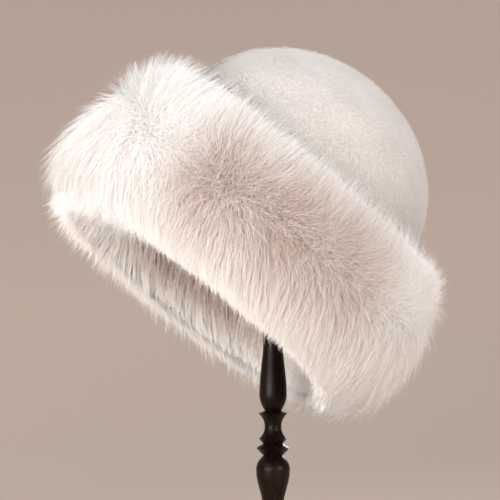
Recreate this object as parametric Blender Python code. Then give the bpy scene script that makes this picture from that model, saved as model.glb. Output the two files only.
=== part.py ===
"""Faux fur bucket hat, leaning on the head of a turned wooden hat stand.

Metres, +Z up. The origin is the centre of the stand's underside, on the floor.
The hat is modelled upright round its own Z axis, with its zero a little above the
seam between crown and brim, and an empty then leans it over the stand.
Turning round the hat, 0 is its low side, a quarter turn is the side away from
the viewer, a half turn its high side and three quarters the side facing the viewer.
"""
import math
import random

import bmesh
import bpy
from mathutils import Euler, Vector

# How the hat is held
HAT_ASIDE = -0.0091
HAT_BACK = -0.0020
HAT_HEIGHT = 0.3137
HAT_LEAN = math.radians(40.0)
HAT_TIP_BACK = math.radians(10.0)

# Crown, a plush dome with a dense short pile
HEAD_RADIUS = 0.0920
CROWN_WALL = 0.0065
CROWN_RADIUS = 0.0995
CROWN_RISE = 0.0890
SHOULDER = 0.0358
SEAM = -0.0060

# Brim, the cloth that carries the long fur
BRIM_WALL = 0.0025
BRIM_DROP = 0.0400
BRIM_FLARE = 0.0210

# Long fur round the brim, to the tips of its locks
FUR_REACH = 0.1470
FUR_TOP = 0.0500
FUR_FALL = 0.0760
LOCK_LENGTH = 0.0130
LOCK_DROOP = 0.15
LOCK_SWAY = 0.25
LOCK_SHORTEST = 0.78
LOCK_LONGEST = 1.12
LOCK_SEED = 12

# Stand
FOOT_RADIUS = 0.0850
FOOT_HEIGHT = 0.0240
SPINDLE_LENGTH = 0.2020
POST_RADIUS = 0.01215
NECK_RADIUS = 0.0068
KNOB_RADIUS = 0.0400
KNOB_BEVEL = 0.0048

# Clearances between pieces that touch
SEWN_GAP = 0.0004
SEAT_GAP = 0.0006
GLUE_GAP = 0.0003

# Facets
HAT_SIDES = 56
POST_SIDES = 20
KNOB_SIDES = 40
FOOT_SIDES = 40
LOCK_ROWS = 18
CROWN_ROWS = 8

# Brim from the seam to its edge. Columns: share of the drop, share of the flare.
BRIM_CURVE = ((0.0, 0.0), (0.35, 0.28), (0.70, 0.64), (1.0, 1.0))

# Roots of the locks, from the head opening round the edge and up to the crown.
# Columns: out, share of the way from the head opening to the fur's reach;
# level, share of the fur's top above the seam or of its fall below it;
# lock, share of the lock length; comb, lean of the lock along the row of stations.
FUR_STATIONS = (
    (-0.02, -0.02, 0.20, 0.50),
    (0.03, -0.23, 0.40, 0.60),
    (0.14, -0.44, 0.55, 0.60),
    (0.28, -0.64, 0.70, 0.50),
    (0.40, -0.78, 0.85, 0.30),
    (0.53, -0.84, 1.00, 0.00),
    (0.67, -0.76, 1.00, -0.40),
    (0.755, -0.55, 1.00, -0.45),
    (0.785, -0.27, 1.00, -0.20),
    (0.765, 0.03, 1.00, 0.20),
    (0.665, 0.40, 1.00, 0.50),
    (0.50, 0.66, 0.95, 0.45),
    (0.34, 0.76, 0.85, 0.20),
    (0.22, 0.73, 0.70, 0.00),
)

# How the fur varies round the hat. Columns: share of a turn, and factors on the
# reach, the top edge, how far out the lower edge stands and how far it falls.
FUR_ROUND = (
    (0.00, 1.045, 1.14, 0.96, 0.86),
    (0.25, 1.000, 0.92, 1.00, 1.00),
    (0.50, 0.955, 1.14, 1.22, 1.00),
    (0.75, 1.000, 0.84, 1.00, 1.00),
)

# Turned outline of the spindle, from the foot up to the plain neck.
# Columns: share of its length, share of the post radius, bulge of the stretch
# below as a share of its chord (negative for a hollow), steps in that stretch.
# A bulge of None is a smooth swell with no edge at either end.
SPINDLE = (
    (0.000, 1.30, 0.00, 1),
    (0.020, 1.30, 0.00, 1),
    (0.075, 0.72, -0.16, 4),
    (0.400, 0.60, 0.00, 1),
    (0.535, 1.00, None, 6),
    (0.588, 0.57, 0.135, 5),
    (0.614, 0.98, 0.00, 1),
    (0.630, 0.575, 0.07, 3),
    (0.6475, 0.825, 0.00, 1),
    (0.690, 0.50, -0.12, 4),
    (0.7385, 0.855, -0.12, 4),
    (0.7475, 0.48, 0.00, 1),
    (0.815, 0.805, 0.093, 4),
    (1.000, 0.58, None, 5),
)

# Foot. Columns: share of the height, share of the radius.
FOOT_CURVE = (
    (0.00, 0.975), (0.05, 1.00), (0.22, 1.00), (0.34, 0.975), (0.42, 0.92),
    (0.46, 0.84), (0.56, 0.62), (0.76, 0.38), (0.94, 0.25), (1.00, 0.22),
)

# Knob under the crown. Columns: turn down from the top in degrees, share of the
# radius. Its underside is flat.
KNOB_TURNS = (0, 14, 28, 42, 56, 70, 84, 97)


def clear_scene():
    for old in list(bpy.data.objects):
        bpy.data.objects.remove(old, do_unlink=True)


def make_material(name, colour, roughness):
    material = bpy.data.materials.new(name)
    material.use_nodes = True
    shader = material.node_tree.nodes["Principled BSDF"]
    shader.inputs["Base Color"].default_value = (*colour, 1.0)
    shader.inputs["Roughness"].default_value = roughness
    shader.inputs["Metallic"].default_value = 0.0
    return material


def add_object(name, bm, material, parent=None, smooth_angle=35.0):
    """Turn a bmesh into a named object with its faces pointing out."""
    bmesh.ops.recalc_face_normals(bm, faces=bm.faces)
    mesh = bpy.data.meshes.new(name)
    bm.to_mesh(mesh)
    bm.free()
    mesh.materials.append(material)
    mesh.shade_smooth()
    mesh.set_sharp_from_angle(angle=math.radians(smooth_angle))
    piece = bpy.data.objects.new(name, mesh)
    bpy.context.scene.collection.objects.link(piece)
    piece.parent = parent
    return piece


def add_ring(bm, sides, place, shift=0.0):
    """A ring of vertices: place takes an angle and gives a radius and a height."""
    ring = []
    for side in range(sides):
        angle = math.tau * (side + shift) / sides
        radius, height = place(angle)
        ring.append(bm.verts.new((radius * math.cos(angle), radius * math.sin(angle), height)))
    return ring


def join_rings(bm, lower, upper, turn=0):
    """Quads between two rings, with the second one turned by whole sides."""
    sides = len(lower)
    for side in range(sides):
        after = (side + 1) % sides
        bm.faces.new((lower[side], lower[after], upper[(after + turn) % sides], upper[(side + turn) % sides]))


def cap_ring(bm, ring, height):
    """A fan from a ring to a point on the axis."""
    centre = bm.verts.new((0.0, 0.0, height))
    for side, vert in enumerate(ring):
        bm.faces.new((vert, ring[(side + 1) % len(ring)], centre))


def turned_body(outline, sides, start_flat=False, end_flat=False):
    """A solid turned from an outline of radius and height whose ends lie on the axis.

    A flat end is one face over its ring, and any other end is a fan to a point.
    """
    bm = bmesh.new()
    inner = outline if start_flat else outline[1:]
    inner = inner if end_flat else inner[:-1]
    rings = [add_ring(bm, sides, lambda angle, row=row: row) for row in inner]
    for lower, upper in zip(rings, rings[1:]):
        join_rings(bm, lower, upper)
    if start_flat:
        bm.faces.new(rings[0])
    else:
        cap_ring(bm, rings[0], outline[0][1])
    if end_flat:
        bm.faces.new(rings[-1])
    else:
        cap_ring(bm, rings[-1], outline[-1][1])
    return bm


def ring_body(outline, sides):
    """A hollow ring turned from a closed outline of radius and height."""
    bm = bmesh.new()
    rings = [add_ring(bm, sides, lambda angle, row=row: row) for row in outline]
    for lower, upper in zip(rings, rings[1:] + rings[:1]):
        join_rings(bm, lower, upper)
    return bm


def smooth_between(before, start, end, after, share):
    """Catmull-Rom value a share of the way from start to end."""
    return 0.5 * (
        2.0 * start
        + (end - before) * share
        + (2.0 * before - 5.0 * start + 4.0 * end - after) * share ** 2
        + (3.0 * start - before - 3.0 * end + after) * share ** 3
    )


def read_stations(share):
    """Columns of the fur stations a share of the way along them."""
    last = len(FUR_STATIONS) - 1
    place = share * last
    first = min(int(place), last - 1)
    rows = [FUR_STATIONS[min(max(first + step, 0), last)] for step in (-1, 0, 1, 2)]
    return [smooth_between(*column, place - first) for column in zip(*rows)]


def read_round(angle):
    """Factors on the fur's reach, top and lower edge at an angle round the hat."""
    count = len(FUR_ROUND)
    place = (angle / math.tau) % 1.0 * count
    first = int(place) % count
    rows = [FUR_ROUND[(first + step) % count][1:] for step in (-1, 0, 1, 2)]
    return [smooth_between(*column, place - int(place)) for column in zip(*rows)]


def crown_outer(height):
    """Outer radius of the crown's band, a slight cone from the seam to the shoulder."""
    foot = HEAD_RADIUS + CROWN_WALL
    return foot + (CROWN_RADIUS - foot) * (height - SEAM) / (SHOULDER - SEAM)


def dome_arc(radius, rise):
    """Rows of radius and height from the apex down to the seam over the shoulder."""
    rows = [(0.0, SHOULDER + rise)]
    for row in range(1, CROWN_ROWS):
        turn = 0.5 * math.pi * row / CROWN_ROWS
        rows.append((radius * math.sin(turn), SHOULDER + rise * math.cos(turn)))
    rows.append((radius, SHOULDER + SEWN_GAP))
    return rows


def brim_line(share):
    """Outer radius and height of the brim cloth, by its share of the drop."""
    for (down, out), (down_next, out_next) in zip(BRIM_CURVE, BRIM_CURVE[1:]):
        if share <= down_next:
            part = (share - down) / (down_next - down)
            out_here = out + (out_next - out) * part
            break
    top = HEAD_RADIUS + CROWN_WALL
    return top + BRIM_FLARE * out_here, SEAM - SEWN_GAP - BRIM_DROP * share


def brim_slant():
    """Length across the sloping cloth for each unit across it level."""
    return math.hypot(BRIM_FLARE, BRIM_DROP) / BRIM_DROP


def build_crown(material, pose):
    outer = dome_arc(CROWN_RADIUS, CROWN_RISE)
    inner = dome_arc(CROWN_RADIUS - CROWN_WALL, CROWN_RISE - CROWN_WALL)
    return add_object("crown", turned_body(outer + inner[::-1], HAT_SIDES), material, pose)


def build_crown_band(material, pose):
    """The band of the crown, between the dome and the brim."""
    outer = [(crown_outer(height), height) for height in (SHOULDER, SEAM)]
    inner = [(radius - CROWN_WALL, height) for radius, height in reversed(outer)]
    return add_object("crown_band", ring_body(outer + inner, HAT_SIDES), material, pose)


def build_brim(material, pose):
    across = BRIM_WALL * brim_slant()
    outer = [brim_line(down) for down, _ in BRIM_CURVE]
    inner = [(radius - across, height) for radius, height in reversed(outer)]
    return add_object("brim", ring_body(outer + inner, HAT_SIDES), material, pose)


def fur_root(share, angle):
    """Radius and height of the surface that the locks stand on."""
    out, level, _, _ = read_stations(share)
    reach, top, lower, fall = read_round(angle)
    spread = 1.0 + (lower - 1.0) * max(-level, 0.0)
    radius = HEAD_RADIUS + out * spread * (FUR_REACH * reach - HEAD_RADIUS)
    height = SEAM + level * (FUR_TOP * top if level > 0.0 else FUR_FALL * fall)
    if level > 0.0:
        radius += level * (CROWN_RADIUS - HEAD_RADIUS - CROWN_WALL)
    if level < 0.0:
        height -= SEWN_GAP
    return radius, height


def fur_slot():
    """Rows of radius and height of the slot that holds the crown and the brim."""
    across = (BRIM_WALL + SEWN_GAP) * brim_slant()
    gap = SEWN_GAP * brim_slant()
    outer = [brim_line(down) for down, _ in BRIM_CURVE]
    edge = outer[-1][1] - SEWN_GAP
    rows = [(radius + gap, height) for radius, height in outer[:-1]]
    rows.append((outer[-1][0] + gap, edge))
    rows.append((outer[-1][0] - across, edge))
    rows += [(radius - across, height) for radius, height in reversed(outer[1:-1])]
    rows.append((outer[0][0] - across, outer[0][1] - SEWN_GAP))
    return rows


def fur_point(share, angle, lock, comb, side_lean, down):
    """Tip of one lock, from its root along the surface's normal, combed and drooping."""
    step = 0.5 / LOCK_ROWS
    radius, height = fur_root(share, angle)
    radius_a, height_a = fur_root(share - step, angle)
    radius_b, height_b = fur_root(share + step, angle)
    along = Vector((radius_b - radius_a, height_b - height_a)).normalized()
    normal = Vector((along.y, -along.x))
    rise = lock * (normal + comb * along)
    outward = Vector((math.cos(angle), math.sin(angle), 0.0))
    sideways = Vector((-math.sin(angle), math.cos(angle), 0.0))
    tip = outward * (radius + rise.x) + Vector((0.0, 0.0, height + rise.y))
    return tip + sideways * (side_lean * lock) + down * (LOCK_DROOP * lock)


def add_locks(bm, rings, down):
    """Raise a leaning, pointed lock on every cell between the root rings."""
    draw = random.Random(LOCK_SEED)
    for row in range(LOCK_ROWS):
        share = (row + 0.5) / LOCK_ROWS
        _, _, lock_share, comb = read_stations(share)
        for side in range(HAT_SIDES):
            after = (side + 1) % HAT_SIDES
            lower, upper = rings[row], rings[row + 1]
            cell = (lower[side], lower[after], upper[after], upper[side])
            angle = math.tau * (side + 0.75 + 0.5 * row) / HAT_SIDES
            lock = LOCK_LENGTH * lock_share * draw.uniform(LOCK_SHORTEST, LOCK_LONGEST)
            side_lean = draw.uniform(-LOCK_SWAY, LOCK_SWAY)
            tip = bm.verts.new(fur_point(share, angle, lock, comb, side_lean, down))
            for corner in range(4):
                bm.faces.new((cell[corner], cell[(corner + 1) % 4], tip))


def against_crown(angle):
    """Radius and height where the top of the fur meets the crown's band."""
    height = fur_root(1.0, angle)[1]
    return crown_outer(height) + SEWN_GAP, height


def build_brim_fur(material, pose):
    """Locks of fur fused to one backing that wraps the brim and the crown's band."""
    bm = bmesh.new()
    rings = []
    for row in range(LOCK_ROWS + 1):
        share = row / LOCK_ROWS
        rings.append(add_ring(bm, HAT_SIDES, lambda angle, share=share: fur_root(share, angle), 0.5 * row))
    down = pose.matrix_basis.to_3x3().inverted() @ Vector((0.0, 0.0, -1.0))
    add_locks(bm, rings, down)

    slot = [add_ring(bm, HAT_SIDES, against_crown)]
    slot += [add_ring(bm, HAT_SIDES, lambda angle, row=row: row) for row in fur_slot()]
    turned_sides = LOCK_ROWS // 2
    join_rings(bm, rings[-1], slot[0], turned_sides)
    for lower, upper in zip(slot, slot[1:]):
        join_rings(bm, lower, upper)
    join_rings(bm, slot[-1], rings[0])
    return add_object("brim_fur", bm, material, pose, smooth_angle=60.0)


def spindle_outline():
    """Rows of radius and height of the turned post, up to its plain neck."""
    rows = [(POST_RADIUS * SPINDLE[0][1], 0.0)]
    for (share, radius, _, _), (share_next, radius_next, bulge, steps) in zip(SPINDLE, SPINDLE[1:]):
        start = Vector((POST_RADIUS * radius, SPINDLE_LENGTH * share))
        end = Vector((POST_RADIUS * radius_next, SPINDLE_LENGTH * share_next))
        for step in range(1, steps + 1):
            part = step / steps
            point = start.lerp(end, part)
            if bulge is None:
                point.x = start.x + (end.x - start.x) * 0.5 * (1.0 - math.cos(math.pi * part))
            else:
                point.x += 4.0 * part * (1.0 - part) * bulge * (end - start).length
            rows.append((point.x, point.y))
    return rows


def build_foot(material):
    rows = [(FOOT_RADIUS * radius, FOOT_HEIGHT * height) for height, radius in FOOT_CURVE]
    return add_object("stand_foot", turned_body(rows, FOOT_SIDES, True, True), material)


def build_post(material, top):
    """The post, from the foot to the underside of the knob."""
    base = FOOT_HEIGHT + GLUE_GAP
    rows = [(radius, base + height) for radius, height in spindle_outline()]
    rows.append((NECK_RADIUS, top))
    return add_object("stand_post", turned_body(rows, POST_SIDES, True, True), material)


def knob_centre_height(crown, radius):
    """Raise a ball on the stand's axis until it meets the inside of the crown."""
    heights = []
    for vert in crown.data.vertices:
        place = crown.parent.matrix_basis @ vert.co
        reach = radius ** 2 - place.x ** 2 - place.y ** 2
        if reach > 0.0 and place.z > HAT_HEIGHT:
            heights.append(place.z - math.sqrt(reach))
    return min(heights)


def build_knob(material, centre):
    rows = []
    for turn in KNOB_TURNS:
        angle = math.radians(turn)
        rows.append((KNOB_RADIUS * math.sin(angle), KNOB_RADIUS * math.cos(angle)))
    widest, low = rows[-1]
    rows.append((widest - KNOB_BEVEL, low - KNOB_BEVEL))
    rows = [(radius, centre + height) for radius, height in rows]
    add_object("stand_knob", turned_body(rows, KNOB_SIDES, False, True), material)
    return rows[-1][1]


def main():
    clear_scene()
    plush = make_material("crown_plush", (0.76, 0.69, 0.64), 0.95)
    cloth = make_material("brim_cloth", (0.62, 0.54, 0.48), 0.90)
    fur = make_material("brim_fur", (0.72, 0.63, 0.57), 0.95)
    wood = make_material("dark_wood", (0.035, 0.020, 0.015), 0.35)

    pose = bpy.data.objects.new("hat_pose", None)
    bpy.context.scene.collection.objects.link(pose)
    pose.location = (HAT_ASIDE, HAT_BACK, HAT_HEIGHT)
    pose.rotation_euler = Euler((-HAT_TIP_BACK, HAT_LEAN, 0.0), "XYZ")

    crown = build_crown(plush, pose)
    build_crown_band(plush, pose)
    build_brim(cloth, pose)
    build_brim_fur(fur, pose)

    centre = knob_centre_height(crown, KNOB_RADIUS + SEAT_GAP)
    underside = build_knob(wood, centre)
    build_post(wood, underside - GLUE_GAP)
    build_foot(wood)


main()
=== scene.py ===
"""Looks of the faux fur bucket hat on its turned wooden stand.

Every hair is a narrow ribbon of real geometry, made in numpy and joined into a few
meshes. The hat is worked out upright round its own Z axis and then leaned over the
stand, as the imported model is. Turning round the hat, 0 is its low side, a quarter
turn the far side, a half turn its high side and three quarters the near side.
"""

import math

import bmesh
import bpy
import numpy as np
from mathutils import Euler, Matrix, Vector


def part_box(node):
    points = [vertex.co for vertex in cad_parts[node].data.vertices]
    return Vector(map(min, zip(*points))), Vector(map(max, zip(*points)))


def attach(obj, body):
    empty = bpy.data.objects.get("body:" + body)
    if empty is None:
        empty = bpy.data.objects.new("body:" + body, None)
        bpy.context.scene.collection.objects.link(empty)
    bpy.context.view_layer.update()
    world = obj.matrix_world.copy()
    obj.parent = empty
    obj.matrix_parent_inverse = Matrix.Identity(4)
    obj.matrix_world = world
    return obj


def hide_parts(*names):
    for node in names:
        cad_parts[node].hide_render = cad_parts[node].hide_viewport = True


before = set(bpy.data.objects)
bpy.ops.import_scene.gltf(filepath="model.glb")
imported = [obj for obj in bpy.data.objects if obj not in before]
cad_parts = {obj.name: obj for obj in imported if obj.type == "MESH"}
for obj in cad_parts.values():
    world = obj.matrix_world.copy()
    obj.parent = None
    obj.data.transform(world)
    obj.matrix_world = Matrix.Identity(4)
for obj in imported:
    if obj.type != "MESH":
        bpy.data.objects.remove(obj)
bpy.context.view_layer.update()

# How the hat is held, in metres
HAT_PLACE = Vector((-0.0091, -0.0020, 0.3137))
HAT_LEAN = math.radians(40.0)
HAT_TIP_BACK = math.radians(10.0)
HAT_TURN = Euler((-HAT_TIP_BACK, HAT_LEAN, 0.0), "XYZ")
HAT_POSE = np.array(Matrix.Translation(HAT_PLACE) @ HAT_TURN.to_matrix().to_4x4())
HAT_DOWN = HAT_POSE[:3, :3].T @ np.array((0.0, 0.0, -1.0))

# Crown and brim
HEAD_RADIUS = 0.0920
CROWN_WALL = 0.0065
CROWN_RADIUS = 0.0995
CROWN_RISE = 0.0890
SHOULDER = 0.0358
SEAM = -0.0060

# Long fur, to the tips of its locks
FUR_REACH = 0.1470
FUR_TOP = 0.0500
FUR_FALL = 0.0760
LOCK_LENGTH = 0.0130

# Outline under the locks, from the head opening round the edge and up to the crown.
# Columns: share of the way out from the head opening to the reach, share of the top
# or of the fall, share of the lock length, lean of the lock along the stations.
FUR_STATIONS = np.array((
    (-0.02, -0.02, 0.20, 0.50),
    (0.03, -0.23, 0.40, 0.60),
    (0.14, -0.44, 0.55, 0.60),
    (0.28, -0.64, 0.70, 0.50),
    (0.40, -0.78, 0.85, 0.30),
    (0.53, -0.84, 1.00, 0.00),
    (0.67, -0.76, 1.00, -0.40),
    (0.755, -0.55, 1.00, -0.45),
    (0.785, -0.27, 1.00, -0.20),
    (0.765, 0.03, 1.00, 0.20),
    (0.665, 0.40, 1.00, 0.50),
    (0.50, 0.66, 0.95, 0.45),
    (0.34, 0.76, 0.85, 0.20),
    (0.22, 0.73, 0.70, 0.00),
))
STATION_STEP = 0.01

# What a length is at least taken as, so that a vector of no length stays finite
LEAST_LENGTH = 1e-9

# How the fur varies round the hat. Columns: share of a turn, and factors on the
# reach, the top edge, how far out the lower edge stands and how far it falls.
FUR_ROUND = np.array((
    (0.00, 1.045, 1.14, 0.96, 0.86),
    (0.25, 1.000, 0.92, 1.00, 1.00),
    (0.50, 0.955, 1.14, 1.22, 1.00),
    (0.75, 1.000, 0.84, 1.00, 1.00),
))

# Hairs: how many in each piece, their size, and the seeds of their random numbers
OUTER_HAIRS = 60000
INNER_HAIRS = 20000
PILE_HAIRS = 54000
HAIR_WIDTH = 0.00030
INNER_WIDTH = 0.00044
PILE_WIDTH = 0.00034
PILE_LENGTH = 0.0070
WIDTH_VARIES = (0.7, 1.3)
NARROWS_BY = 0.55
HAIR_STATIONS = np.array((0.0, 0.55, 1.0))
OUTER_SEED = 20
INNER_SEED = 31
PILE_SEED = 41
TUFT_SEED = 3
SWIRL_SEED = 6
STRIPE_SEED = 7
NAP_SEED = 8
UNDERCOAT_SEED = 9
WOOL_SEED = 10

# How hairs turn their flat sides, and how far they are shaded as the fur's surface is
RIBBON_TWIST = 0.35
RIBBON_SIDEWAYS = 0.80
SIDEWAYS_GAIN = 4.0
SIDEWAYS_SHIFT = 0.3
SOFTNESS = 0.85

# Places in the fur, as shares of its outline from the head opening to the crown. A
# band is a pair: where an effect is none and where it is full. EDGE_BAND and
# TRIM_BAND are distances from the middle of the edge's fur, EDGE_MIDDLE past EDGE.
EDGE = 0.385
EDGE_MIDDLE = 0.02
EDGE_BAND = (0.10, 0.03)
TRIM_BAND = (0.14, 0.02)
LIP_BAND = (0.82, 0.92)
FAR_RIM_BAND = (EDGE + 0.14, EDGE + 0.06)
HANG_BAND = (0.62, 0.45)

# Ranges of the sine or cosine of a turn round the hat, from none to all of an effect
NEAR_SIDE = (0.3, 0.9)
FAR_SIDE = (0.0, 0.5)
HIGH_END_FILLED = (0.2, 0.8)
HIGH_END_TRIMMED = (0.1, 0.8)
LONG_SIDES = (0.20, 0.80)
LONG_SIDES_SHIFT = 0.06

# Brown stripe, where the fur parts: its middle, which climbs towards the low side and
# at both ends, its spread, where it is brown and how brown
STRIPE = 0.640
STRIPE_CLIMB = 0.050
END_CLIMB = 0.18
STRIPE_SPREAD = 0.115
BROWN_SIDES = (0.64, 0.98)
BROWN_SIDES_SHIFT = 0.10
BROWNEST_SIDES = (0.76, 1.0)
BROWN = 0.62
BROWNEST = 0.28
MOTTLED = 0.14

# Painted shade: brown by the head opening, inside both long sides, where the hollow of the hat is in
# shade
INNER_PAINTED_SHADE = 0.85
INNER_PAINTED_SHADE_BAND = (0.31, 0.18)
INNER_PAINTED_SHADE_SIDES = (0.55, 0.92)

# Combing: how far a hair's tip moves along the outline and round the hat
COMBED_DOWN = 0.080
COMBED_UP = 0.070
COMBED_INSIDE = 0.045
HANGS_ROUND = 0.125
SWIRLS = 0.030
PARTING_WIDTH = 0.12
COMBED_DOWN_BAND = (EDGE - 0.04, EDGE + 0.04)
COMBED_UP_BAND = (1.0, 0.85)
INSIDE_BAND = (EDGE, EDGE - 0.06)
HANGING_BAND = (0.10, -0.15)

# Roots: the part of the hairs that is gathered at the edge and at the parting
GATHERED = 0.22
EDGE_ROOTS = 0.05
PARTED_ROOTS = 0.05
UNDERCOAT = -0.40

# Reach, in lock lengths: of long, short and stray hairs, and what lengthens or trims
# them at the high end, at the lip by the crown and along the near edge
LONG_PART = 0.50
LONG_REACH = (0.92, 0.12)
SHORT_REACH = (0.20, 0.85)
STRAY_PART = 0.12
STRAY_REACH = (1.00, 1.45)
FILL_HIGH_END = 1.1
HIGH_END_TRIM = 0.45
NEAR_EDGE_TRIM = 0.34
LIP_WISPS = 0.90

# Tufts: their number round and along the fur, and how far hairs are pulled to the tip
# of their tuft. Spikes are the tufts of stray hairs.
TUFT_COLUMNS = 200
TUFT_ROWS = 42
TUFT_SHAKE = 0.22
TUFT_PLACE = (0.15, 0.85)
TUFT_REACH = 1.20
LOOSE_PULL = (0.05, 0.55)
EDGE_PULL = (0.55, 0.97)
SPIKED_PART = 0.75
SPIKE_PULL = (0.80, 0.96)
SPIKE_SHORT = 1.10
SPIKE_LONG = 1.95
STRIPE_LOOSENS = 0.7
STRIPE_LOOSENS_SPIKES = 0.6
INSIDE_LOOSENS = 0.6

# Disorder of the tips along the outline and round the hat, and of the bends in
# metres. Each pair is the amount away from the stripe and what the stripe adds.
TIPS_ALONG = (0.010, 0.030)
TIPS_ROUND = (0.020, 0.055)
BENDS_ASTRAY = (0.0008, 0.0022)
BEND_HEIGHT = (0.35, 0.60)

# How far the tips droop, in metres, and the least part of that in any tuft
DROOP = 0.0006
EDGE_DROOP = 0.0014
LEAST_DROOP = 0.30

# Shading: the outline share that it is taken from keeps off the edge, and what faces
# away from the room leans towards it. TUFT_SHADE is a tuft's part in a hair's tone.
LIT_OVER = 0.05
LIT_UNDER = 0.09
UNDER_LIT = 1.30
UNDER_LIT_TOWARDS = np.array((-0.3, -1.0, -0.3))
HIGH_END_LIT = 0.7
TUFT_SHADE = 0.35

# Undercoat sheet
UNDERCOAT_ROWS = 56
UNDERCOAT_SIDES = 160
UNDERCOAT_WAVES = 0.0006
UNDERCOAT_ALONG = 0.35
UNDERCOAT_SHADE = (0.2, 0.8)
UNDERCOAT_LIT_BAND = (EDGE + 0.06, EDGE)

# Crown pile. Its hairs lie along the nap, from the high side to the low side. Leans
# and rises are shares of a hair's length, of its tip or of its bend.
DOME_PART = 0.88
PILE_DEPTH_BELOW = 0.6
NAP = np.array((1.0, 0.0, -0.15))
NAP_WANDERS = 0.7
NAP_SCATTER = 0.45
PILE_VARIES = (0.6, 1.1)
PILE_RISES = (0.18, 0.26, 0.38, 0.52)
PILE_RISE_VARIES = (-0.06, 0.06)
PILE_ROOT_DEPTH = 0.0006
PILE_TIP_LEAN = 0.90
PILE_BEND_LEAN = 0.22
PILE_BEND_RISE = 0.34
PILE_MIDDLE_RISE = 0.3
PILE_LIT_UP = 0.90
PILE_LIT_TOWARDS = np.array((-0.35, -0.20, 0.90))
# Painted light: band low on the crown where the pile is lightened against the shadow of the long fur's
# lip
PAINTED_LIGHT_BAND = (0.84, 1.0)

# Stand
SPINDLE_LENGTH = 0.2020
POST_RADIUS = 0.01215
NECK_RADIUS = 0.0068
POST_SIDES = 64
SPINDLE_STEPS = 9
SHARP_EDGE = math.radians(38.0)

# Turned outline. Columns: share of the length, share of the post radius, bulge of
# the stretch below as a share of its chord, or None for a smooth swell.
SPINDLE = (
    (0.000, 1.30, 0.00),
    (0.020, 1.30, 0.00),
    (0.075, 0.72, -0.16),
    (0.400, 0.60, 0.00),
    (0.535, 1.00, None),
    (0.588, 0.57, 0.135),
    (0.614, 0.98, 0.00),
    (0.630, 0.575, 0.07),
    (0.6475, 0.825, 0.00),
    (0.690, 0.50, -0.12),
    (0.7385, 0.855, -0.12),
    (0.7475, 0.48, 0.00),
    (0.815, 0.805, 0.093),
    (1.000, 0.58, None),
)


def smooth_between(before, start, end, after, share):
    """Catmull-Rom value a share of the way from start to end."""
    return 0.5 * (
        2.0 * start
        + (end - before) * share
        + (2.0 * before - 5.0 * start + 4.0 * end - after) * share ** 2
        + (3.0 * start - before - 3.0 * end + after) * share ** 3
    )


def smooth_step(none, full, value):
    """0 where a value is at none, 1 where it is at full, and a smooth rise between."""
    part = np.clip((value - none) / (full - none), 0.0, 1.0)
    return part * part * (3.0 - 2.0 * part)


def read_stations(share):
    """Columns of the fur stations, one row for each share."""
    last = len(FUR_STATIONS) - 1
    place = np.clip(share, 0.0, 1.0) * last
    first = np.minimum(place.astype(int), last - 1)
    rows = [FUR_STATIONS[np.clip(first + step, 0, last)] for step in (-1, 0, 1, 2)]
    return smooth_between(*rows, (place - first)[:, None]).T


def read_round(angle):
    """Factors on the fur's form, one row for each angle round the hat."""
    count = len(FUR_ROUND)
    place = (angle / math.tau) % 1.0 * count
    first = place.astype(int)
    rows = [FUR_ROUND[(first + step) % count, 1:] for step in (-1, 0, 1, 2)]
    return smooth_between(*rows, (place - first)[:, None]).T


def fur_root(share, angle):
    """Radius and height of the surface under the locks."""
    out, level, _, _ = read_stations(share)
    reach, top, lower, fall = read_round(angle)
    spread = 1.0 + (lower - 1.0) * np.maximum(-level, 0.0)
    radius = HEAD_RADIUS + out * spread * (FUR_REACH * reach - HEAD_RADIUS)
    radius += np.maximum(level, 0.0) * (CROWN_RADIUS - HEAD_RADIUS - CROWN_WALL)
    height = SEAM + level * np.where(level > 0.0, FUR_TOP * top, FUR_FALL * fall)
    return radius, height


def fur_tip(share, angle, reach):
    """Points of the fur's outer form in the hat's own frame, and its normals.

    Past the ends of the outline it has no direction, so hairs lie flat there.
    """
    _, _, lock, comb = read_stations(share)
    radius, height = fur_root(share, angle)
    radius_before, height_before = fur_root(share - STATION_STEP, angle)
    radius_after, height_after = fur_root(share + STATION_STEP, angle)
    along = np.stack((radius_after - radius_before, height_after - height_before))
    along /= np.maximum(np.linalg.norm(along, axis=0), LEAST_LENGTH)
    normal = np.stack((along[1], -along[0]))
    rise = LOCK_LENGTH * lock * reach * (normal + comb * along)
    return (
        from_turn(radius + rise[0], height + rise[1], angle),
        from_turn(normal[0], normal[1], angle),
    )


def from_turn(radius, height, angle):
    return np.stack((radius * np.cos(angle), radius * np.sin(angle), height), axis=1)


def to_world(points):
    return points @ HAT_POSE[:3, :3].T + HAT_POSE[:3, 3]


def hat_turned(vectors):
    return vectors @ HAT_POSE[:3, :3].T


def unit(vectors):
    return vectors / np.maximum(np.linalg.norm(vectors, axis=1, keepdims=True), LEAST_LENGTH)


def new_mesh(name, points, quads, triangles=None, columns=None, normals=None):
    """A mesh straight from arrays, with one float attribute for each column."""
    corners = [quads.ravel()]
    starts = [4 * np.arange(len(quads))]
    if triangles is not None:
        corners.append(triangles.ravel())
        starts.append(4 * len(quads) + 3 * np.arange(len(triangles)))
    corners = np.concatenate(corners)
    starts = np.concatenate(starts)
    mesh = bpy.data.meshes.new(name)
    mesh.vertices.add(len(points))
    mesh.vertices.foreach_set("co", points.astype(np.float32).ravel())
    mesh.loops.add(len(corners))
    mesh.loops.foreach_set("vertex_index", corners.astype(np.int32))
    mesh.polygons.add(len(starts))
    mesh.polygons.foreach_set("loop_start", starts.astype(np.int32))
    mesh.polygons.foreach_set("use_smooth", np.ones(len(starts), bool))
    for label, values in (columns or {}).items():
        attribute = mesh.attributes.new(label, "FLOAT", "POINT")
        attribute.data.foreach_set("value", values.astype(np.float32))
    mesh.update(calc_edges=True)
    if normals is not None:
        mesh.normals_split_custom_set_from_vertices(normals.tolist())
    piece = bpy.data.objects.new(name, mesh)
    bpy.context.scene.collection.objects.link(piece)
    return piece


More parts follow.
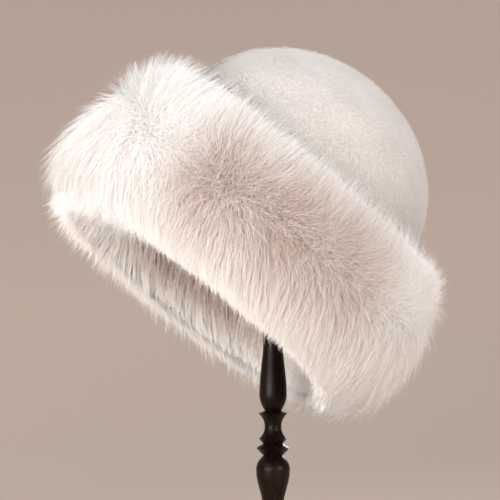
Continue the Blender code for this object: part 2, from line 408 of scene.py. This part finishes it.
def ring_quads(rows, sides):
    """Quads between rings of points, from the first ring to the last."""
    start = np.arange(rows - 1)[:, None] * sides
    low = (start + np.arange(sides)).ravel()
    low_next = (start + (np.arange(sides) + 1) % sides).ravel()
    return np.stack((low, low_next, low_next + sides, low + sides), axis=1)


def grow_hairs(name, roots, bends, tips, facing, width, draw, columns):
    """Join one tapered ribbon for each hair into a mesh.

    A hair is a curve from its root past its bend to its tip, read at the stations,
    which are shares of the way along. Its flat side faces out of the fur, and to the
    near or far side where it stands up. It is shaded mostly as the fur's own surface
    is, because real fur passes light on.
    """
    count = len(roots)
    twist = unit(draw.normal(size=(count, 3)))
    sideways = np.zeros((count, 3))
    sideways[:, 1] = np.clip(SIDEWAYS_GAIN * facing[:, 1] - SIDEWAYS_SHIFT, -1.0, 1.0)
    aim = facing + RIBBON_TWIST * twist + RIBBON_SIDEWAYS * sideways
    points = []
    for share in HAIR_STATIONS[:-1]:
        point = (1 - share) ** 2 * roots + 2 * share * (1 - share) * bends + share ** 2 * tips
        tangent = unit((1 - share) * (bends - roots) + share * (tips - bends))
        half = 0.5 * width * (1.0 - NARROWS_BY * share)
        side = unit(np.cross(tangent, aim)) * half[:, None]
        points.append(np.stack((point - side, point + side), axis=1))
    points.append(tips[:, None, :])
    points = np.concatenate(points, axis=1)
    per_hair = points.shape[1]
    first = per_hair * np.arange(count)[:, None]
    quads = []
    for row in range(0, per_hair - 3, 2):
        quads.append(first + np.array((row, row + 1, row + 3, row + 2)))
    triangles = first + np.array((per_hair - 3, per_hair - 2, per_hair - 1))
    values = {"along": np.tile(np.repeat(HAIR_STATIONS, 2)[:per_hair], count)}
    for label, column in columns.items():
        values[label] = np.repeat(column, per_hair)
    shading = unit(SOFTNESS * facing + (1.0 - SOFTNESS) * unit(aim))
    return new_mesh(
        name, points.reshape(-1, 3), np.concatenate(quads), triangles, values,
        np.repeat(shading, per_hair, axis=0),
    )


def wander(angle, share, seed, waves=5):
    """A smooth random field round the hat and along the fur, about -1 to 1."""
    draw = np.random.default_rng(seed)
    total = np.zeros_like(angle)
    for _ in range(waves):
        turns = draw.integers(2, 15)
        rows = draw.uniform(1.0, 9.0)
        total += np.sin(turns * angle + rows * share + draw.uniform(0.0, math.tau))
    return total / waves ** 0.5


def tuft_centres(angle, share, draw):
    """Angle and share of the tuft that each hair belongs to, and a number for it."""
    shaken_angle = angle / math.tau * TUFT_COLUMNS + draw.normal(0.0, TUFT_SHAKE, len(angle))
    shaken_share = share * TUFT_ROWS + draw.normal(0.0, TUFT_SHAKE, len(angle))
    column = np.floor(shaken_angle).astype(int) % TUFT_COLUMNS
    row = np.clip(np.floor(shaken_share).astype(int), 0, TUFT_ROWS - 1)
    place = np.random.default_rng(TUFT_SEED).uniform(*TUFT_PLACE, (TUFT_COLUMNS * TUFT_ROWS, 3))
    place = place[row * TUFT_COLUMNS + column]
    tuft_angle = (column + place[:, 0]) * math.tau / TUFT_COLUMNS
    return tuft_angle, (row + place[:, 1]) / TUFT_ROWS, place[:, 2]


def long_side(angle):
    """1 along the near and far sides, falling to 0 at the high and low ends."""
    return smooth_step(*LONG_SIDES, np.abs(np.sin(angle)) + LONG_SIDES_SHIFT * np.cos(angle))


def parting(angle):
    """Share at which the fur parts: along the stripe, and nearer the crown at the ends."""
    return STRIPE + STRIPE_CLIMB * np.cos(angle) + END_CLIMB * (1.0 - long_side(angle))


def near_stripe(share, angle):
    """1 along the middle of the stripe, falling away to both sides and both ends."""
    return long_side(angle) * np.exp(-(((share - parting(angle)) / STRIPE_SPREAD) ** 2))


def near_edge(share, band):
    """1 by the fur's lower edge, falling to 0 past a band on both sides of it."""
    return smooth_step(*band, np.abs(share - EDGE - EDGE_MIDDLE))


def stripe_and_painted_shade(share, angle):
    """How brown the fur is: its own brown along the stripe on both long sides, and painted shade by the
    opening.
    """
    aside = np.abs(np.sin(angle))
    depth = near_stripe(share, angle)
    depth *= smooth_step(*BROWN_SIDES, aside + BROWN_SIDES_SHIFT * np.cos(angle))
    middle = smooth_step(*BROWNEST_SIDES, aside)
    depth *= BROWN + BROWNEST * middle + MOTTLED * wander(angle, share, STRIPE_SEED)
    # painted shade: browner by the head opening, in the shaded hollow of the hat
    depth += INNER_PAINTED_SHADE * smooth_step(*INNER_PAINTED_SHADE_BAND, share) * smooth_step(*INNER_PAINTED_SHADE_SIDES, aside)
    return np.clip(depth, 0.0, 1.0)


def combed(share, angle):
    """Where a hair rooted at a share and an angle is combed to by its tip.

    Below the stripe hairs fall to the edge and hang to the low side, above it they
    lie up over the crown, and under the brim they fall to the edge from inside.
    """
    above = share - parting(angle)
    fall = smooth_step(0.0, -PARTING_WIDTH, above) * smooth_step(*COMBED_DOWN_BAND, share)
    rise = smooth_step(0.0, PARTING_WIDTH, above) * smooth_step(*COMBED_UP_BAND, share)
    inside = smooth_step(*INSIDE_BAND, share)
    hang = smooth_step(*HANGING_BAND, above)
    moved = share - COMBED_DOWN * fall + COMBED_UP * rise + COMBED_INSIDE * inside
    swirl = SWIRLS * wander(angle, share, SWIRL_SEED)
    return moved, angle - HANGS_ROUND * np.sin(angle) * hang + swirl


def spread_roots(draw, turns, shares, count):
    """Share and angle of each root, with more of them at the edge and at the parting."""
    angle = draw.uniform(*turns, count) * math.tau
    share = draw.uniform(*shares, count)
    at_edge = (share < EDGE) & (draw.uniform(size=count) < GATHERED)
    share = np.where(at_edge, EDGE - EDGE_ROOTS * draw.uniform(size=count), share)
    parted = np.clip(parting(angle) + PARTED_ROOTS * draw.normal(size=count), EDGE, 1.0)
    share = np.where((share > EDGE) & (draw.uniform(size=count) < GATHERED), parted, share)
    return share, angle


def near_trim(share, angle):
    """Factor that keeps hairs short along the near side's lower edge."""
    near_side = smooth_step(*NEAR_SIDE, -np.sin(angle))
    return 1.0 - NEAR_EDGE_TRIM * near_side * near_edge(share, TRIM_BAND)


def high_end_inside(share, angle):
    """1 inside the brim at the high end, where longer hairs close the fur."""
    return (share < EDGE) * smooth_step(*HIGH_END_FILLED, -np.cos(angle))


def hair_reach(draw, share, angle):
    """How many lock lengths each hair reaches, and which hairs are stray."""
    count = len(share)
    is_long = draw.uniform(size=count) < LONG_PART
    reach = np.where(is_long, draw.normal(*LONG_REACH, count), draw.uniform(*SHORT_REACH, count))
    stray = draw.uniform(size=count) < STRAY_PART
    reach = np.where(stray, draw.uniform(*STRAY_REACH, count), reach)
    reach *= 1.0 + FILL_HIGH_END * high_end_inside(share, angle) * ~stray
    reach *= 1.0 + LIP_WISPS * smooth_step(*LIP_BAND, share) * draw.uniform(size=count)
    high_end = (share >= EDGE) * smooth_step(*HIGH_END_TRIMMED, -np.cos(angle))
    reach *= near_trim(share, angle) * (1.0 - HIGH_END_TRIM * high_end)
    return reach, stray


def fur_shading(share, angle, tip_share, tip_angle):
    """Shading normals of hairs, from the fur's surface at their tips.

    Inside the brim and along the far edge, which turn away from the room, they lean
    towards it.
    """
    inside = share < EDGE
    over = np.maximum(tip_share, EDGE + LIT_OVER)
    lit_share = np.where(inside, np.minimum(tip_share, EDGE - LIT_UNDER), over)
    _, normals = fur_tip(lit_share, tip_angle, 0.0)
    far_rim = ~inside * smooth_step(*FAR_RIM_BAND, share) * smooth_step(*FAR_SIDE, np.sin(angle))
    lit = UNDER_LIT * (inside + far_rim + HIGH_END_LIT * high_end_inside(share, angle))
    return unit(normals + lit[:, None] * UNDER_LIT_TOWARDS)


def grow_fur(name, turns, shares, count, width, seed):
    """Layered hairs over a stretch of the fur, given in turns and station shares."""
    draw = np.random.default_rng(seed)
    share, angle = spread_roots(draw, turns, shares, count)
    crossed = near_stripe(share, angle)
    edge = near_edge(share, EDGE_BAND)
    tuft_angle, tuft_share, tuft_shade = tuft_centres(angle, share, draw)

    roots, _ = fur_tip(share, angle, UNDERCOAT)
    tip_share, tip_angle = combed(share, angle)
    tip_share += (TIPS_ALONG[0] + TIPS_ALONG[1] * crossed) * draw.normal(size=count)
    tip_angle += (TIPS_ROUND[0] + TIPS_ROUND[1] * crossed) * draw.normal(size=count)
    reach, stray = hair_reach(draw, share, angle)
    tips, _ = fur_tip(tip_share, tip_angle, reach)
    normals = fur_shading(share, angle, tip_share, tip_angle)

    tuft_place = combed(tuft_share, tuft_angle)
    tuft_tips, _ = fur_tip(*tuft_place, TUFT_REACH)
    pull = draw.uniform(*LOOSE_PULL, count) * (1.0 - edge) + draw.uniform(*EDGE_PULL, count) * edge
    pull *= (1.0 - STRIPE_LOOSENS * crossed) * (1.0 - INSIDE_LOOSENS * (share < EDGE))
    spike_reach = near_trim(share, angle) * (SPIKE_SHORT + (SPIKE_LONG - SPIKE_SHORT) * tuft_shade)
    spikes, _ = fur_tip(*tuft_place, spike_reach)
    spiked = stray & (draw.uniform(size=count) < SPIKED_PART)
    tuft_tips = np.where(spiked[:, None], spikes, tuft_tips)
    spike_pull = draw.uniform(*SPIKE_PULL, count) * (1.0 - STRIPE_LOOSENS_SPIKES * crossed)
    pull = np.where(spiked, spike_pull, pull)
    tips += (tuft_tips - tips) * pull[:, None]

    droop = DROOP * smooth_step(*HANG_BAND, share) + EDGE_DROOP * edge
    droop = droop * (LEAST_DROOP + (1.0 - LEAST_DROOP) * tuft_shade) * reach
    tips += droop[:, None] * HAT_DOWN
    _, outward = fur_tip(share, angle, 0.0)
    far = np.linalg.norm(tips - roots, axis=1, keepdims=True)
    bends = roots + outward * far * draw.uniform(*BEND_HEIGHT, count)[:, None]
    astray = BENDS_ASTRAY[0] + BENDS_ASTRAY[1] * crossed
    bends += astray[:, None] * draw.normal(size=(count, 3))
    columns = {
        "shade": (1.0 - TUFT_SHADE) * draw.uniform(size=count) + TUFT_SHADE * tuft_shade,
        # the stripe column holds the stripe's own brown and the painted shade by the head opening
        "stripe": stripe_and_painted_shade(share, angle),
    }
    widths = width * np.where(stray, 1.0, draw.uniform(*WIDTH_VARIES, count))
    return grow_hairs(
        name, to_world(roots), to_world(bends), to_world(tips),
        hat_turned(normals), widths, draw, columns,
    )


def make_undercoat(name):
    """The dense wool that the long hairs stand in, as one sheet round the brim."""
    rows = np.linspace(0.0, 1.0, UNDERCOAT_ROWS)
    sides = np.arange(UNDERCOAT_SIDES) * math.tau / UNDERCOAT_SIDES
    share, angle = [grid.ravel() for grid in np.meshgrid(rows, sides, indexing="ij")]
    points, normals = fur_tip(share, angle, UNDERCOAT)
    points += UNDERCOAT_WAVES * wander(3.0 * angle, 4.0 * share, UNDERCOAT_SEED)[:, None] * normals
    columns = {
        "along": np.full(len(share), UNDERCOAT_ALONG),
        "shade": np.random.default_rng(WOOL_SEED).uniform(*UNDERCOAT_SHADE, len(share)),
        # the stripe column holds the stripe's own brown and the painted shade by the head opening
        "stripe": stripe_and_painted_shade(share, angle),
    }
    lit = UNDER_LIT * smooth_step(*UNDERCOAT_LIT_BAND, share)
    normals = hat_turned(unit(normals + lit[:, None] * UNDER_LIT_TOWARDS))
    quads = ring_quads(UNDERCOAT_ROWS, UNDERCOAT_SIDES)
    return new_mesh(name, to_world(points), quads, columns=columns, normals=normals)


def crown_point(turn, angle):
    """Points and normals of the crown: turn is 0 at the apex and 1 at the shoulder."""
    down = 0.5 * math.pi * np.minimum(turn, 1.0)
    below = np.maximum(turn - 1.0, 0.0)
    radius = CROWN_RADIUS * np.sin(down)
    height = SHOULDER + CROWN_RISE * np.cos(down) - below * (SHOULDER - SEAM)
    normal = from_turn(CROWN_RISE * np.sin(down), CROWN_RADIUS * np.cos(down), angle)
    return from_turn(radius, height, angle), unit(normal)


def grow_crown_pile(name):
    """Short dense hairs over the dome, combed from its high side to its low side."""
    draw = np.random.default_rng(PILE_SEED)
    even = draw.uniform(0.0, 1.0, PILE_HAIRS)
    on_dome = np.arccos(1.0 - np.minimum(even / DOME_PART, 1.0)) * 2.0 / math.pi
    below_dome = 1.0 + (even - DOME_PART) / (1.0 - DOME_PART) * PILE_DEPTH_BELOW
    turn = np.where(even < DOME_PART, on_dome, below_dome)
    angle = draw.uniform(0.0, math.tau, PILE_HAIRS)
    roots, normals = crown_point(turn, angle)
    comb = unit(NAP - (normals @ NAP)[:, None] * normals)
    round_about = np.cross(normals, comb)
    drift = NAP_WANDERS * wander(angle, 3.0 * turn, NAP_SEED) + draw.normal(0.0, NAP_SCATTER, PILE_HAIRS)
    lean = unit(comb + drift[:, None] * round_about)
    length = PILE_LENGTH * draw.uniform(*PILE_VARIES, PILE_HAIRS)[:, None]
    rise = draw.choice(PILE_RISES, PILE_HAIRS) + draw.uniform(*PILE_RISE_VARIES, PILE_HAIRS)
    rise = rise[:, None]
    roots -= PILE_ROOT_DEPTH * normals
    bend_rise = PILE_BEND_RISE * rise / PILE_MIDDLE_RISE
    bends = roots + length * (PILE_BEND_LEAN * lean + bend_rise * normals)
    tips = roots + length * (PILE_TIP_LEAN * lean + rise * normals)
    normals = unit(hat_turned(normals) + PILE_LIT_UP * PILE_LIT_TOWARDS)
    # painted light: lighter low on the crown, where the long fur's lip shades it
    columns = {"shade": draw.uniform(size=PILE_HAIRS), "painted_light": smooth_step(*PAINTED_LIGHT_BAND, turn)}
    widths = PILE_WIDTH * draw.uniform(*WIDTH_VARIES, PILE_HAIRS)
    return grow_hairs(
        name, to_world(roots), to_world(bends), to_world(tips),
        normals, widths, draw, columns,
    )


def turned_piece(name, outline, sides):
    """A piece turned round Z from rows of radius and height."""
    angles = np.arange(sides) * math.tau / sides
    rings = []
    for radius, height in outline:
        rings.append(from_turn(np.full(sides, radius), np.full(sides, height), angles))
    return new_mesh(name, np.concatenate(rings), ring_quads(len(outline), sides))


def close_ends(piece, sides):
    """Cap the first and last rings of a turned piece, and face it outwards."""
    shape = bmesh.new()
    shape.from_mesh(piece.data)
    bmesh.ops.holes_fill(shape, edges=shape.edges, sides=sides + 1)
    bmesh.ops.recalc_face_normals(shape, faces=shape.faces)
    shape.to_mesh(piece.data)
    shape.free()
    piece.data.set_sharp_from_angle(angle=SHARP_EDGE)
    return piece


def spindle_rows():
    """Rows of radius and height up the turned outline, with its curves in steps."""
    rows = [(POST_RADIUS * SPINDLE[0][1], 0.0)]
    for (share, radius, _), (share_next, radius_next, bulge) in zip(SPINDLE, SPINDLE[1:]):
        start = Vector((POST_RADIUS * radius, SPINDLE_LENGTH * share))
        end = Vector((POST_RADIUS * radius_next, SPINDLE_LENGTH * share_next))
        for step in range(1, SPINDLE_STEPS + 1):
            part = step / SPINDLE_STEPS
            point = start.lerp(end, part)
            if bulge is None:
                point.x = start.x + (end.x - start.x) * 0.5 * (1.0 - math.cos(math.pi * part))
            else:
                point.x += 4.0 * part * (1.0 - part) * bulge * (end - start).length
            rows.append((point.x, point.y))
    return rows


def make_post():
    low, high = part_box("stand_post")
    rows = [(radius, low.z + height) for radius, height in spindle_rows()]
    rows.append((NECK_RADIUS, high.z))
    return close_ends(turned_piece("turned_post", rows, POST_SIDES), POST_SIDES)


def node_material(name):
    material = bpy.data.materials.new(name)
    material.use_nodes = True
    nodes = material.node_tree.nodes
    return material, nodes, material.node_tree.links, nodes["Principled BSDF"]


def ramp_colour(nodes, links, factor, stops):
    """Colours along a ramp, read at a factor."""
    ramp = nodes.new("ShaderNodeValToRGB")
    elements = ramp.color_ramp.elements
    while len(elements) < len(stops):
        elements.new(0.5)
    for element, (place, colour) in zip(elements, stops):
        element.position = place
        element.color = (*colour, 1.0)
    links.new(factor, ramp.inputs["Fac"])
    return ramp.outputs["Color"]


def srgb(*display):
    """Linear colour from red, green and blue display values of 0 to 255."""
    linear = []
    for value in display:
        part = value / 255.0
        linear.append(part / 12.92 if part <= 0.04045 else ((part + 0.055) / 1.055) ** 2.4)
    return tuple(linear)


def mix_colours(nodes, links, factor, first, second, blend="MIX"):
    """Two colours mixed. Each value is a socket, a plain number or a colour."""
    mix = nodes.new("ShaderNodeMix")
    mix.data_type = "RGBA"
    mix.blend_type = blend
    for label, value in (("Factor", factor), ("A", first), ("B", second)):
        if isinstance(value, bpy.types.NodeSocket):
            links.new(value, mix.inputs[label])
        elif isinstance(value, tuple):
            mix.inputs[label].default_value = (*value, 1.0)
        else:
            mix.inputs[label].default_value = value
    return mix.outputs["Result"]


def multiply_colours(nodes, links, first, second):
    return mix_colours(nodes, links, 1.0, first, second, "MULTIPLY")


def read_attribute(nodes, name):
    node = nodes.new("ShaderNodeAttribute")
    node.attribute_name = name
    return node.outputs["Fac"]


def object_place(nodes):
    return nodes.new("ShaderNodeTexCoord").outputs["Object"]


def noise(nodes, links, place, scale, detail=2.0):
    """Cloudy values round 0.5 at a place."""
    texture = nodes.new("ShaderNodeTexNoise")
    texture.inputs["Scale"].default_value = scale
    texture.inputs["Detail"].default_value = detail
    links.new(place, texture.inputs["Vector"])
    return texture.outputs["Fac"]


def map_range(nodes, links, value, read, given):
    """A value read between two ends, as a value between two given ends."""
    mapped = nodes.new("ShaderNodeMapRange")
    ends = zip(("From Min", "From Max", "To Min", "To Max"), (*read, *given))
    for label, end in ends:
        mapped.inputs[label].default_value = end
    links.new(value, mapped.inputs["Value"])
    return mapped.outputs["Result"]


def add_bump(nodes, links, shader, height, strength, distance):
    bump = nodes.new("ShaderNodeBump")
    bump.inputs["Strength"].default_value = strength
    bump.inputs["Distance"].default_value = distance
    links.new(height, bump.inputs["Height"])
    links.new(bump.outputs["Normal"], shader.inputs["Normal"])


def fur_material():
    """Pale tips over a beige foot, with browner hairs along the stripe, and painted shade by the head
    opening.
    """
    material, nodes, links, shader = node_material("long_fur")
    along = read_attribute(nodes, "along")
    shade = read_attribute(nodes, "shade")
    # stripe: the stripe's own brown, and painted shade by the head opening
    stripe = read_attribute(nodes, "stripe")
    pale = ramp_colour(nodes, links, along, (
        (0.00, srgb(224, 211, 198)),
        (0.35, srgb(243, 237, 229)),
        (0.70, srgb(252, 249, 247)),
        (1.00, srgb(253, 251, 250)),
    ))
    brown = ramp_colour(nodes, links, along, (
        (0.00, srgb(104, 80, 68)),
        (0.45, srgb(142, 110, 95)),
        (0.80, srgb(176, 144, 128)),
        (1.00, srgb(216, 192, 178)),
    ))
    amount = nodes.new("ShaderNodeMath")
    amount.operation = "MULTIPLY"
    links.new(stripe, amount.inputs[0])
    links.new(map_range(nodes, links, shade, (0.20, 0.50), (0.05, 1.0)), amount.inputs[1])
    blended = mix_colours(nodes, links, amount.outputs["Value"], pale, brown)
    tint = ramp_colour(nodes, links, shade, (
        (0.0, (0.84, 0.82, 0.80)),
        (0.5, (0.97, 0.97, 0.97)),
        (1.0, (1.0, 1.0, 1.0)),
    ))
    links.new(multiply_colours(nodes, links, blended, tint), shader.inputs["Base Color"])
    shader.inputs["Roughness"].default_value = 0.75
    shader.inputs["Specular IOR Level"].default_value = 0.25
    shader.inputs["Sheen Weight"].default_value = 0.25
    shader.inputs["Sheen Roughness"].default_value = 0.45
    return material


def plush_material():
    """Short cream pile with faint cloudy patches, darkened as painted shade, lighter towards the long
    fur as painted light.
    """
    material, nodes, links, shader = node_material("plush_pile")
    clouds = noise(nodes, links, object_place(nodes), 38.0, 3.0)
    # painted shade: the pile's cream is darkened throughout, for the shadows between its hairs, which
    # cast none
    base = ramp_colour(nodes, links, clouds, ((0.30, srgb(196, 191, 188)), (0.70, srgb(209, 204, 201))))
    # painted light: lighter low on the crown, against the shadow of the long fur's lip
    lifted_by_painted_light = mix_colours(nodes, links, read_attribute(nodes, "painted_light"), base, srgb(226, 221, 218))
    along = read_attribute(nodes, "along")
    # painted shade: each hair a little darker at its foot, deep in the pile
    foot = ramp_colour(nodes, links, along, ((0.0, (0.95, 0.94, 0.93)), (1.0, (1.0, 1.0, 1.0))))
    shade = read_attribute(nodes, "shade")
    tint = ramp_colour(nodes, links, shade, ((0.0, (0.86, 0.84, 0.82)), (0.8, (1.0, 1.0, 1.0))))
    colour = multiply_colours(nodes, links, lifted_by_painted_light, foot)
    links.new(multiply_colours(nodes, links, colour, tint), shader.inputs["Base Color"])
    shader.inputs["Roughness"].default_value = 0.80
    shader.inputs["Specular IOR Level"].default_value = 0.20
    shader.inputs["Sheen Weight"].default_value = 0.30
    shader.inputs["Sheen Roughness"].default_value = 0.40
    return material


def backing_material():
    """The dense foot of the plush pile, finely mottled."""
    material, nodes, links, shader = node_material("plush_backing")
    fuzz = noise(nodes, links, object_place(nodes), 620.0, 4.0)
    mottled = ramp_colour(nodes, links, fuzz, ((0.35, srgb(178, 172, 168)), (0.62, srgb(212, 207, 204))))
    links.new(mottled, shader.inputs["Base Color"])
    add_bump(nodes, links, shader, fuzz, 0.5, 0.0010)
    shader.inputs["Roughness"].default_value = 0.90
    shader.inputs["Sheen Weight"].default_value = 0.20
    return material


def cloth_material():
    """Fine knitted backing cloth of the brim."""
    material, nodes, links, shader = node_material("brim_backing")
    wave = nodes.new("ShaderNodeTexWave")
    wave.inputs["Scale"].default_value = 260.0
    wave.inputs["Distortion"].default_value = 2.5
    links.new(object_place(nodes), wave.inputs["Vector"])
    ribs = wave.outputs["Fac"]
    knitted = ramp_colour(nodes, links, ribs, ((0.0, srgb(200, 182, 168)), (1.0, srgb(222, 206, 192))))
    links.new(knitted, shader.inputs["Base Color"])
    add_bump(nodes, links, shader, ribs, 0.4, 0.0004)
    shader.inputs["Roughness"].default_value = 0.90
    shader.inputs["Sheen Weight"].default_value = 0.20
    return material


def wood_material():
    """Dark stained hardwood, with long fine grain under a satin polish."""
    material, nodes, links, shader = node_material("dark_wood")
    stretch = nodes.new("ShaderNodeMapping")
    stretch.inputs["Scale"].default_value = (1.0, 1.0, 0.07)
    links.new(object_place(nodes), stretch.inputs["Vector"])
    grain = noise(nodes, links, stretch.outputs["Vector"], 420.0, 5.0)
    figure = noise(nodes, links, stretch.outputs["Vector"], 60.0)
    fine = ramp_colour(nodes, links, grain, ((0.35, srgb(15, 6, 4)), (0.65, srgb(33, 16, 10))))
    broad = ramp_colour(nodes, links, figure, ((0.30, (0.70, 0.66, 0.64)), (0.70, (1.0, 1.0, 1.0))))
    links.new(multiply_colours(nodes, links, fine, broad), shader.inputs["Base Color"])
    rough = map_range(nodes, links, grain, (0.0, 1.0), (0.30, 0.42))
    links.new(rough, shader.inputs["Roughness"])
    add_bump(nodes, links, shader, grain, 0.12, 0.0003)
    shader.inputs["Specular IOR Level"].default_value = 0.10
    shader.inputs["Coat Weight"].default_value = 0.03
    shader.inputs["Coat Roughness"].default_value = 0.22
    return material


def dress(piece, material):
    """Give an added piece its material and slot, and let it ride the one body."""
    piece.data.materials.clear()
    piece.data.materials.append(material)
    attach(piece, "root")
    return piece


def cover(name, material):
    """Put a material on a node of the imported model."""
    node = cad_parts[name]
    node.data.materials.clear()
    node.data.materials.append(material)


def make_hat():
    fur = fur_material()
    pieces = [make_undercoat("fur_undercoat")]
    inside = ((0.0, 1.0), (0.0, EDGE))
    pieces.append(grow_fur("fur_inside_brim", *inside, INNER_HAIRS, INNER_WIDTH, INNER_SEED))
    for quarter, side in enumerate(("low", "far", "high", "near")):
        outside = (((quarter - 0.5) / 4.0, (quarter + 0.5) / 4.0), (EDGE, 1.0))
        seed = OUTER_SEED + quarter
        pieces.append(grow_fur(f"fur_{side}_side", *outside, OUTER_HAIRS, HAIR_WIDTH, seed))
    for piece in pieces:
        dress(piece, fur)
        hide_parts("brim_fur")

    pile = dress(grow_crown_pile("crown_pile"), plush_material())
    pile.visible_shadow = False
    backing = backing_material()
    cover("crown", backing)
    cover("crown_band", backing)
    cover("brim", cloth_material())


def make_stand():
    wood = wood_material()
    post = dress(make_post(), wood)
    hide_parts("stand_post")
    cover("stand_foot", wood)
    cover("stand_knob", wood)


# Stage: a round pale bowl, flat under the stand and rising far away. Painted light:
# its paper gets brighter along one direction over the floor, as light falls across it.
STAGE_HOLE = 0.01
STAGE_SMOOTH = 0.3
STAGE_FLAT = 0.60
STAGE_RADIUS = 6.00
STAGE_HEIGHT = 2.60
STAGE_ROWS = 40
STAGE_SIDES = 96
STAGE_COLOURS = ((0.3, (0.612, 0.506, 0.436)), (0.7, (0.630, 0.522, 0.450)))
STAGE_PAINTED_LIGHT_TOWARDS = (-0.10, 0.143, 0.0)
STAGE_PAINTED_LIGHT_BETWEEN = (0.22, 0.43)
STAGE_PAINTED_LIGHT_RANGE = (0.91, 1.13)


def make_stage():
    rows = [(STAGE_HOLE, 0.0), (STAGE_SMOOTH, 0.0), (STAGE_FLAT, 0.0)]
    for part in np.linspace(0.0, 1.0, STAGE_ROWS)[1:]:
        rows.append((STAGE_FLAT + (STAGE_RADIUS - STAGE_FLAT) * part, STAGE_HEIGHT * part ** 3))
    floor = close_floor(turned_piece("stage", rows, STAGE_SIDES))
    material, nodes, links, shader = node_material("stage_paper")
    place = object_place(nodes)
    paper = ramp_colour(nodes, links, noise(nodes, links, place, 0.6), STAGE_COLOURS)
    # painted light: the paper brightens along one direction over the floor
    rise = nodes.new("ShaderNodeVectorMath")
    rise.operation = "DOT_PRODUCT"
    rise.inputs[1].default_value = STAGE_PAINTED_LIGHT_TOWARDS
    links.new(place, rise.inputs[0])
    stage_painted_light = map_range(nodes, links, rise.outputs["Value"], STAGE_PAINTED_LIGHT_BETWEEN, STAGE_PAINTED_LIGHT_RANGE)
    paper_with_painted_light = nodes.new("ShaderNodeVectorMath")
    paper_with_painted_light.operation = "SCALE"
    links.new(paper, paper_with_painted_light.inputs[0])
    links.new(stage_painted_light, paper_with_painted_light.inputs["Scale"])
    links.new(paper_with_painted_light.outputs["Vector"], shader.inputs["Base Color"])
    shader.inputs["Roughness"].default_value = 1.0
    shader.inputs["Specular IOR Level"].default_value = 0.0
    floor.data.materials.append(material)


def close_floor(floor):
    """Fill the small hole in the middle of the bowl."""
    shape = bmesh.new()
    shape.from_mesh(floor.data)
    rims = [edge for edge in shape.edges if edge.is_boundary]
    inner = [edge for edge in rims if edge.verts[0].co.length < 2.0 * STAGE_HOLE]
    bmesh.ops.contextual_create(shape, geom=inner)
    shape.to_mesh(floor.data)
    shape.free()
    return floor


# Light: a soft room, and panels that are all aimed at the hat. Columns: name, place,
# width, height, watts, colour and the angle that the light spreads over.
ROOM_COLOUR = (1.0, 0.985, 0.97)
ROOM_STRENGTH = 0.55
WIDE = math.pi
NARROW = math.radians(50.0)
PANELS = (
    ("key", (-2.0, -2.2, 1.6), 2.2, 2.2, 19.5, (1.0, 0.99, 0.985), WIDE),
    ("top", (0.0, 0.2, 2.4), 1.8, 1.8, 24.0, (0.98, 0.985, 1.0), WIDE),
    ("front", (-0.6, -2.6, 0.85), 2.6, 0.9, 9.0, (1.0, 0.99, 0.98), WIDE),
    ("right", (1.75, -1.55, 0.50), 1.4, 0.55, 28.0, (1.0, 0.98, 0.965), WIDE),
    ("low", (-0.95, -1.45, 0.22), 1.3, 0.28, 22.0, (1.0, 0.99, 0.975), WIDE),
    ("back", (0.3, 1.3, 0.75), 0.6, 0.5, 1.5, (1.0, 0.99, 0.98), NARROW),
)


def add_panel(name, place, width, height, watts, colour, spread):
    """A soft panel of light aimed at the hat, and hidden from the camera."""
    light = bpy.data.lights.new(name, "AREA")
    light.shape = "RECTANGLE"
    light.size = width
    light.size_y = height
    light.energy = watts
    light.color = colour
    light.spread = spread
    lamp = bpy.data.objects.new(name, light)
    bpy.context.scene.collection.objects.link(lamp)
    lamp.location = place
    lamp.rotation_euler = (HAT_PLACE - Vector(place)).to_track_quat("-Z", "Y").to_euler()
    lamp.visible_camera = False


def make_light():
    world = bpy.data.worlds.new("soft_room")
    world.use_nodes = True
    background = world.node_tree.nodes["Background"]
    background.inputs["Color"].default_value = (*ROOM_COLOUR, 1.0)
    background.inputs["Strength"].default_value = ROOM_STRENGTH
    bpy.context.scene.world = world
    for panel in PANELS:
        add_panel(*panel)
    bpy.context.scene.view_settings.view_transform = "Standard"


# Camera: level with the hat, in front of it. The stand's axis is at the post pixel.
CAMERA_DISTANCE = 2.20
CAMERA_HEIGHT = 0.291
SENSOR_WIDTH = 36.0
CLIP_END = 50.0
MM_PER_PIXEL = 0.72
PHOTO_SIZE = 500
POST_PIXEL = 273


def make_camera():
    camera = bpy.data.cameras.new("camera")
    width = MM_PER_PIXEL * PHOTO_SIZE / 1000.0
    camera.sensor_width = SENSOR_WIDTH
    camera.lens = camera.sensor_width * CAMERA_DISTANCE / width
    camera.clip_end = CLIP_END
    viewer = bpy.data.objects.new("camera", camera)
    bpy.context.scene.collection.objects.link(viewer)
    aside = (POST_PIXEL - 0.5 * PHOTO_SIZE) * MM_PER_PIXEL / 1000.0
    viewer.location = (-aside, -CAMERA_DISTANCE, CAMERA_HEIGHT)
    viewer.rotation_euler = (math.radians(90.0), 0.0, 0.0)
    bpy.context.scene.camera = viewer


make_camera()
make_light()
make_stage()
make_stand()
make_hat()
